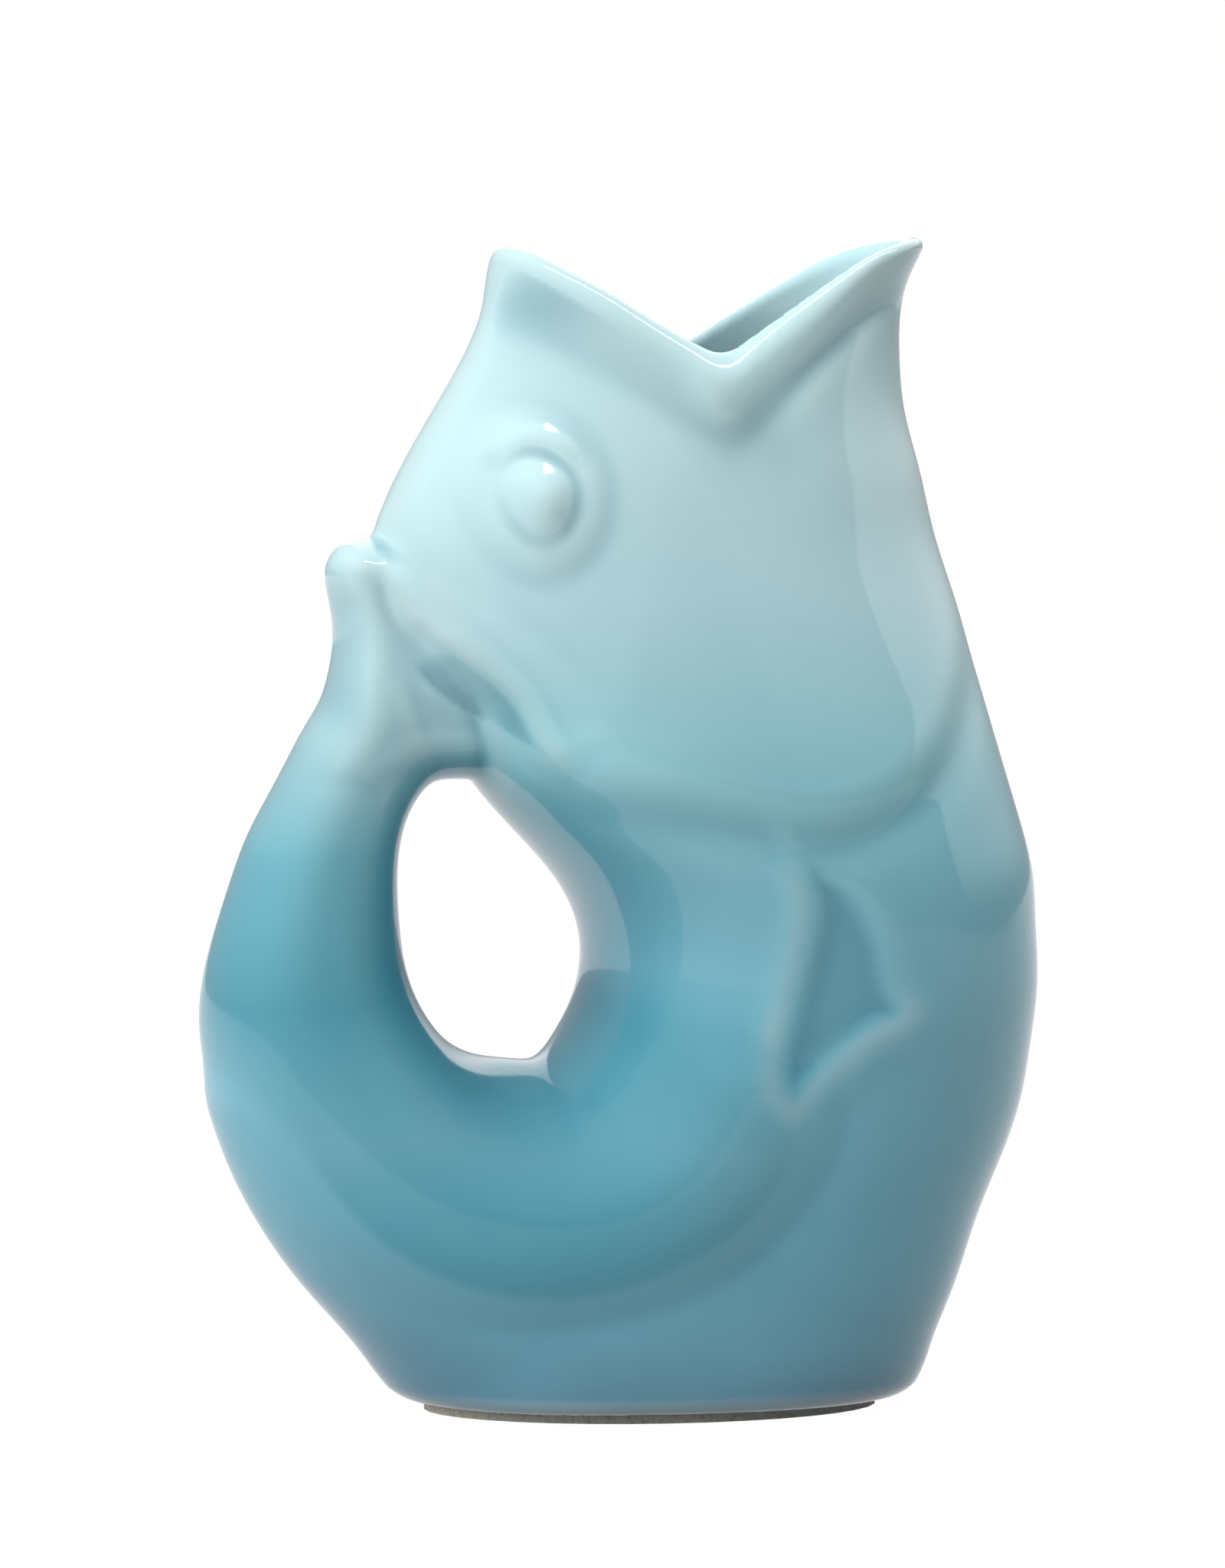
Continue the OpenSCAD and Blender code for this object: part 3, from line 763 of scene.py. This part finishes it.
# The luted seams between the pieces, in the mid plane.
tail_top = [(-33.0, 133.2), (-69.7, 152.0), (-110.0, 172.7)]
tail_foot = [(-110.0, 40.0), (-87.8, 55.5), (-44.6, 85.6), (-34.0, 93.0)]
belly_foot = [(-24.0, 79.2), (110.0, 41.2)]
rim_x = np.linspace(-90, 110, 81)
rim_seam = np.stack([rim_x, lip_level(rim_x) - RIM_H], 1)
fin_way = np.gradient(FIN_EDGE, axis=0)
fin_way /= np.linalg.norm(fin_way, axis=1, keepdims=True)
fin_seam = FIN_EDGE + FIN_REACH * np.stack([-fin_way[:, 1], fin_way[:, 0]], 1)
gill_seam = GILL[GILL[:, 0] > GILL_FROM]

pieces = {"lower_body": add_mesh("lower_body_skin", *shell_mesh(VOXEL))}
rest = pieces["lower_body"]
rim_block = [*rim_seam, (110, FAR), (-90, FAR)]
pieces["mouth_rim"] = part_off(rest, rim_block, "mouth_rim_skin")
fin_block = [(-110, 215), (-62, 215), *fin_seam, (-17.0, 138.6), *tail_top]
pieces["tail_fin"] = part_off(rest, fin_block, "tail_fin_skin")
tail_block = [*tail_top, (-125, 100), *tail_foot, (-28, 107)]
pieces["tail_tube"] = part_off(rest, tail_block, "tail_tube_skin")
head_block = [(-120, 141), *gill_seam, (110, 200), (110, FAR), (-120, FAR)]
pieces["head"] = part_off(rest, head_block, "head_skin")
pieces["belly"] = part_off(rest, [*belly_foot, (110, 230), (-24, 230)], "belly_skin")
for side, low_y, high_y in (("right", -BESIDE, 0.0), ("left", 0.0, BESIDE)):
    for name, grow in (("eye", EYE_EDGE), ("eye_ring", RING_EDGE)):
        node = side + "_" + name
        outline = ellipse((EYE_X, EYE_Z), (EYE_L, EYE_H), grow)
        pieces[node] = part_off(pieces["head"], outline, node + "_skin", low_y, high_y)
    node = side + "_pectoral_fin"
    pieces[node] = part_off(pieces["belly"], SIDE_FIN, node + "_skin", low_y, high_y)

scene = bpy.context.scene
scene.view_settings.view_transform = "Standard"

# Camera, at the photograph's angle.
CAM_YAW = math.radians(13.0)
CAM_FAR = 2.0
CAM_Z = 0.235
AIM = (-0.0013, 0.0, 0.1385)
PHOTO_H = 2048
MM_PER_PIXEL = 0.1697
SENSOR = 36.0
CLIP_END = 50

cam_data = bpy.data.cameras.new("camera")
cam = bpy.data.objects.new("camera", cam_data)
scene.collection.objects.link(cam)
cam_data.sensor_fit = "AUTO"
cam_data.sensor_width = SENSOR
cam_data.lens = SENSOR * CAM_FAR / (PHOTO_H * MM_PER_PIXEL * MM)
cam_data.clip_end = CLIP_END
aim = Vector((AIM[0] * math.cos(CAM_YAW), -AIM[0] * math.sin(CAM_YAW), AIM[2]))
cam.location = (aim.x - math.sin(CAM_YAW) * CAM_FAR, aim.y - math.cos(CAM_YAW) * CAM_FAR, CAM_Z)
cam.rotation_euler = (aim - cam.location).to_track_quat("-Z", "Y").to_euler()
scene.camera = cam


def srgb(*levels):
    """A colour written as screen levels, as the linear colour that nodes take."""
    return tuple(
        (v / 255 / 12.92) if v / 255 <= 0.04045 else ((v / 255 + 0.055) / 1.055) ** 2.4
        for v in levels
    ) + (1.0,)


class Nodes:
    """Short ways to add and join the nodes of one material."""

    def __init__(self, tree):
        self.tree = tree

    def add(self, kind, inputs=None, **settings):
        node = self.tree.nodes.new(kind)
        for key, value in settings.items():
            setattr(node, key, value)
        for key, value in (inputs or {}).items():
            if isinstance(value, bpy.types.NodeSocket):
                self.tree.links.new(value, node.inputs[key])
            else:
                node.inputs[key].default_value = value
        return node

    def ramp(self, value, stops):
        node = self.add("ShaderNodeValToRGB", {"Fac": value})
        points = node.color_ramp.elements
        while len(points) < len(stops):
            points.new(0.5)
        for point, (place, colour) in zip(points, stops):
            point.position, point.color = place, colour
        return node.outputs["Color"]

    def mix(self, share, first, second):
        """One colour going over into another."""
        node = self.add("ShaderNodeMix", {0: share, 6: first, 7: second}, data_type="RGBA")
        return node.outputs[2]

    def spread(self, value, low, high, first=0.0, last=1.0, **settings):
        """A value carried from one range to another."""
        node = self.add("ShaderNodeMapRange", {
            "Value": value, "From Min": low, "From Max": high, "To Min": first, "To Max": last,
        }, **settings)
        return node.outputs[0]

    def math(self, operation, *inputs):
        node = self.add("ShaderNodeMath", dict(enumerate(inputs)), operation=operation)
        return node.outputs[0]

    def toward(self, way, direction):
        """How far a direction leans towards another."""
        node = self.add("ShaderNodeVectorMath", {0: way, 1: direction}, operation="DOT_PRODUCT")
        return node.outputs["Value"]

    def noise(self, place, scale, detail):
        node = self.add("ShaderNodeTexNoise", {"Vector": place, "Scale": scale, "Detail": detail})
        return node.outputs["Fac"]

    def relief(self, height, strength, distance):
        node = self.add("ShaderNodeBump", {
            "Height": height, "Strength": strength, "Distance": distance,
        })
        return node.outputs[0]


# Glaze from the foot to the lip, by share of the jug's height: on the body, and where the
# tail's teal lies. Both darken towards the foot, partly the glaze's own ombre and partly
# painted shade; the body's ramp is greyer low down with a painted floor reflection.
BODY_OMBRE_SHADE_AND_REFLECTION = (
    (0.00, srgb(94, 148, 172)), (0.03, srgb(102, 160, 184)), (0.08, srgb(114, 182, 205)),
    (0.17, srgb(117, 192, 214)), (0.40, srgb(131, 197, 214)), (0.50, srgb(142, 206, 219)),
    (0.58, srgb(169, 224, 233)), (0.69, srgb(192, 230, 237)), (0.82, srgb(202, 236, 240)),
    (1.00, srgb(202, 236, 240)),
)
TAIL_OMBRE_AND_SHADE = (
    (0.10, srgb(80, 168, 190)), (0.15, srgb(86, 172, 194)), (0.23, srgb(110, 179, 198)),
    (0.36, srgb(88, 165, 184)), (0.49, srgb(119, 187, 202)), (0.59, srgb(181, 220, 226)),
    (0.69, srgb(196, 232, 238)), (0.80, srgb(202, 236, 240)),
)
GLAZE_TOP = 0.26
# Colour of pooled glaze, also used for painted shade; colour of thinned glaze, also used for
# painted highlights.
POOL_AND_SHADE_COLOUR, POOL_AND_SHADE_SHARE = srgb(44, 130, 155), 0.55
DRAIN_AND_HIGHLIGHT_COLOUR, DRAIN_AND_HIGHLIGHT_SHARE, DRAIN_AND_HIGHLIGHT_FROM = srgb(206, 228, 229), 0.45, 0.05
# Clouds that shift the glaze up or down, in metres, then the sheen and the fine orange peel.
CLOUD_SCALE, CLOUD_DETAIL, CLOUD_SHIFT = 11.0, 3.0, 0.030
SHEEN_SCALE, SHEEN_DETAIL, SHEEN = 60.0, 4.0, (0.05, 0.11)
PEEL_SCALE, PEEL_DETAIL, PEEL_STRENGTH, PEEL_DEPTH = 420.0, 2.0, 0.05, 0.0004
GLAZE_IOR = 1.5


def glaze_material(name):
    """Glaze that darkens down the jug, partly with painted shade and a painted floor reflection;
    it collects in hollows and thins on raised edges, with painted shade and highlights in the
    same colours.
    """
    mat = bpy.data.materials.new(name)
    mat.use_nodes = True
    tree = mat.node_tree
    n = Nodes(tree)
    shader = tree.nodes["Principled BSDF"]
    place = n.add("ShaderNodeTexCoord").outputs["Object"]
    height = n.add("ShaderNodeSeparateXYZ", {0: place}).outputs["Z"]
    cloud = n.noise(place, CLOUD_SCALE, CLOUD_DETAIL)
    drift = n.math("MULTIPLY_ADD", cloud, CLOUD_SHIFT, -CLOUD_SHIFT / 2)
    level = n.spread(n.math("ADD", height, drift), 0.0, GLAZE_TOP)
    # Where the tail's teal stands, without the body's painted floor reflection.
    tail = n.add("ShaderNodeAttribute", attribute_name="tail").outputs["Fac"]
    pool_and_painted_light = n.add("ShaderNodeAttribute", attribute_name="pool_and_painted_light").outputs["Fac"]
    # The tail's teal ramp leaves out the body's painted floor reflection; both hold painted shade
    # low down.
    body = n.mix(tail, n.ramp(level, BODY_OMBRE_SHADE_AND_REFLECTION), n.ramp(level, TAIL_OMBRE_AND_SHADE))
    # Darker with pooled glaze and painted shade, lighter with thinned glaze and painted
    # highlights.
    body = n.mix(n.spread(pool_and_painted_light, 0.0, -1.0, 0.0, POOL_AND_SHADE_SHARE), body, POOL_AND_SHADE_COLOUR)
    body = n.mix(n.spread(pool_and_painted_light, DRAIN_AND_HIGHLIGHT_FROM, 1.0, 0.0, DRAIN_AND_HIGHLIGHT_SHARE), body, DRAIN_AND_HIGHLIGHT_COLOUR)
    tree.links.new(body, shader.inputs["Base Color"])
    rough = n.spread(n.noise(place, SHEEN_SCALE, SHEEN_DETAIL), 0.0, 1.0, *SHEEN)
    tree.links.new(rough, shader.inputs["Roughness"])
    peel = n.relief(n.noise(place, PEEL_SCALE, PEEL_DETAIL), PEEL_STRENGTH, PEEL_DEPTH)
    tree.links.new(peel, shader.inputs["Normal"])
    shader.inputs["IOR"].default_value = GLAZE_IOR
    return mat


CLAY = ((0.30, srgb(196, 188, 172)), (0.50, srgb(222, 214, 198)), (0.72, srgb(232, 226, 214)))
GRAIN_SCALE, GRAIN_DETAIL, GRAIN_STRENGTH, GRAIN_DEPTH = 900.0, 4.0, 0.3, 0.0002
CLAY_ROUGH = (0.78, 0.95)


def clay_material(name):
    """The unglazed foot: pale, matt and grainy."""
    mat = bpy.data.materials.new(name)
    mat.use_nodes = True
    tree = mat.node_tree
    n = Nodes(tree)
    shader = tree.nodes["Principled BSDF"]
    place = n.add("ShaderNodeTexCoord").outputs["Object"]
    grain = n.noise(place, GRAIN_SCALE, GRAIN_DETAIL)
    tree.links.new(n.ramp(grain, CLAY), shader.inputs["Base Color"])
    tree.links.new(n.spread(grain, 0.0, 1.0, *CLAY_ROUGH), shader.inputs["Roughness"])
    tree.links.new(n.relief(grain, GRAIN_STRENGTH, GRAIN_DEPTH), shader.inputs["Normal"])
    return mat


# Faces nearer the skin than this are skin, and the rest are cuts between pieces.
ON_SKIN = 0.2
# Depth below the skin at which the glaze is the inside's, and painted shade inside the jug, which
# deepens below the lip.
INSIDE = (2.0, 3.6)
INSIDE_SHADE, INSIDE_SHADE_MORE, INSIDE_SHADE_DOWN = 0.2, 0.8, (6.0, 28.0)
# Where the fin's post meets the head, the glaze follows the curvature less.
CALM_SHARE, CALM_X, CALM_Z, CALM_WIDE = 0.75, -52, 176, 13.0


def glaze_pools_and_painted_light(points):
    """How far the glaze has drained or pooled at each point, outside and inside the jug, with
    painted shade at the jaw, in the fin's hollow and inside the jug, and a painted highlight on
    the fin's ridge.
    """
    x, y, z = points.T
    inside = step(*INSIDE, -skin_distance(sample(skin_stack, x, z), y))
    # Painted shade inside the jug, darker further below the lip.
    sunk = INSIDE_SHADE + INSIDE_SHADE_MORE * step(*INSIDE_SHADE_DOWN, lip_level(x) - z)
    calm = 1 - CALM_SHARE * bell(np.hypot(x - CALM_X, z - CALM_Z), CALM_WIDE)
    # Pooled and drained glaze, with the painted shade and highlights of the fin and the jaw.
    glaze = calm * pooling(points) + fin_glaze_and_painted_light(x, z) + side_fin_glaze(x, z) + jaw_painted_shade(x, z)
    return np.clip(glaze * (1 - inside) - sunk * inside, -1, 1)


def dress(obj, node, slot):
    """Shading, glaze and standing of one piece."""
    mesh = obj.data
    n_points, n_faces = len(mesh.vertices), len(mesh.polygons)
    points, middles, facing = np.empty(3 * n_points), np.empty(3 * n_faces), np.empty(3 * n_faces)
    mesh.vertices.foreach_get("co", points)
    mesh.polygons.foreach_get("center", middles)
    mesh.polygons.foreach_get("normal", facing)
    points, middles = points.reshape(-1, 3) / MM, middles.reshape(-1, 3) / MM
    facing = facing.reshape(-1, 3)
    corner, sides = np.empty(len(mesh.loops), int), np.empty(n_faces, int)
    mesh.loops.foreach_get("vertex_index", corner)
    mesh.polygons.foreach_get("loop_total", sides)
    face = np.repeat(np.arange(n_faces), sides)
    skin = np.abs(distance(middles)) < ON_SKIN
    mesh.polygons.foreach_set("use_smooth", np.ones(n_faces, bool))
    normals = np.where(skin[face][:, None], slope_at(points)[corner], facing[face])
    mesh.normals_split_custom_set(normals.tolist())
    # Share of the tail's teal, without the painted floor reflection.
    tail = tail_without_painted_reflection(points[:, 0], points[:, 2])
    for name, values in (("pool_and_painted_light", glaze_pools_and_painted_light(points)), ("tail", tail)):
        attribute = mesh.attributes.new(name, "FLOAT", "POINT")
        attribute.data.foreach_set("value", values.astype(np.float32))
    mesh.materials.clear()
    mesh.materials.append(MATERIALS[slot])
    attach(obj, "root")
    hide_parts(node)


MATERIALS = {slot: glaze_material(slot) for slot in ("aqua_glaze", "teal_glaze")}
SLOTS = {piece["node"]: piece["material_slot"] for piece in frame["record"]["subparts"]}
for node, obj in pieces.items():
    dress(obj, node, SLOTS[node])

foot_ring = frame["nodes"]["foot_ring"]
foot_ring.data.materials.clear()
foot_ring.data.materials.append(clay_material("bare_clay"))

# A white floor that keeps the jug's shadow.
FLOOR_HALF = 8.0
FLOOR_GREY = (0.32, 0.32, 0.32, 1)
FLOOR_WHITE, FLOOR_SEEN, FLOOR_MIRRORED = 1.12, 0.88, 0.68
WHITE = (1, 1, 1, 1)

floor_mesh = bpy.data.meshes.new("floor")
corners = [(FLOOR_HALF * a, FLOOR_HALF * b, 0) for a, b in ((-1, -1), (1, -1), (1, 1), (-1, 1))]
floor_mesh.from_pydata(corners, [], [(0, 1, 2, 3)])
floor = bpy.data.objects.new("floor", floor_mesh)
scene.collection.objects.link(floor)
floor_mat = bpy.data.materials.new("floor")
floor_mat.use_nodes = True
n = Nodes(floor_mat.node_tree)
n.tree.nodes.clear()
lit = n.add("ShaderNodeBsdfDiffuse", {"Color": FLOOR_GREY})
white = n.add("ShaderNodeEmission", {"Color": WHITE, "Strength": FLOOR_WHITE})
ray = n.add("ShaderNodeLightPath")
glossy = n.math("MULTIPLY", ray.outputs["Is Glossy Ray"], FLOOR_MIRRORED)
camera = n.math("MULTIPLY", ray.outputs["Is Camera Ray"], FLOOR_SEEN)
part = n.math("MAXIMUM", camera, glossy)
both = n.add("ShaderNodeMixShader", {0: part, 1: lit.outputs[0], 2: white.outputs[0]})
n.add("ShaderNodeOutputMaterial", {"Surface": both.outputs[0]})
floor_mesh.materials.append(floor_mat)

# The studio: soft light from the upper left, and a screen round the right and behind.
LIGHT_FROM, LIGHT_POWER, LIGHT_LEVEL, LIGHT_LEAST = (-0.75, -0.28, 0.60), 2.0, 2.35, 0.04
SCREEN_FRONT, SCREEN_BACK, SCREEN_EDGE = (0.342, 0.939, 0.0), (0.999, 0.035, 0.0), 0.03
SCREEN_LIGHT = 0.62
# What the glaze mirrors: the room, and the screen, which fades to the floor and overhead.
ROOM_MIRRORED, SCREEN_MIRRORED = 0.40, 1.65
SCREEN_FOOT, SCREEN_TOP = (0.02, 0.32), (0.97, 0.55)
SMOOTH = {"interpolation_type": "SMOOTHSTEP"}

world = bpy.data.worlds.new("studio")
scene.world = world
world.use_nodes = True
n = Nodes(world.node_tree)
n.tree.nodes.clear()
ray = n.add("ShaderNodeLightPath")
way = n.add("ShaderNodeTexCoord").outputs["Generated"]
lean = n.math("POWER", n.math("MAXIMUM", n.toward(way, LIGHT_FROM), 0.0), LIGHT_POWER)
room = n.math("MULTIPLY_ADD", lean, LIGHT_LEVEL, LIGHT_LEAST)
screen = n.math("MINIMUM", n.toward(way, SCREEN_FRONT), n.toward(way, SCREEN_BACK))
screen = n.spread(screen, 0.0, SCREEN_EDGE, **SMOOTH)
lit = n.math("MULTIPLY_ADD", screen, SCREEN_LIGHT, room)
height = n.toward(way, (0.0, 0.0, 1.0))
foot_fade = n.spread(height, *SCREEN_FOOT, **SMOOTH)
top_fade = n.spread(height, *SCREEN_TOP, **SMOOTH)
faded = n.math("MULTIPLY", foot_fade, top_fade)
mirrored = n.spread(n.math("MULTIPLY", screen, faded), 0.0, 1.0, ROOM_MIRRORED, SCREEN_MIRRORED)
glossy = ray.outputs["Is Glossy Ray"]
shown = n.add("ShaderNodeMix", {0: glossy, 2: lit, 3: mirrored}, data_type="FLOAT")
seen = n.math("MAXIMUM", ray.outputs["Is Camera Ray"], ray.outputs["Is Transmission Ray"])
strength = n.add("ShaderNodeMix", {0: seen, 2: shown.outputs[0], 3: 1.0}, data_type="FLOAT")
sky = n.add("ShaderNodeBackground", {"Color": WHITE, "Strength": strength.outputs[0]})
n.add("ShaderNodeOutputWorld", {"Surface": sky.outputs[0]})

# One long soft box overhead, facing down, for the highlights on the eyes and lips.
BOX_PLACE, BOX_LONG, BOX_WIDE, BOX_WATTS = (0.40, 0.02, 1.20), 1.1, 0.10, 3.6

box_light = bpy.data.lights.new("top_box", "AREA")
box_light.shape = "RECTANGLE"
box_light.size, box_light.size_y = BOX_LONG, BOX_WIDE
box_light.energy = BOX_WATTS
top_box = bpy.data.objects.new("top_box", box_light)
scene.collection.objects.link(top_box)
top_box.location = BOX_PLACE
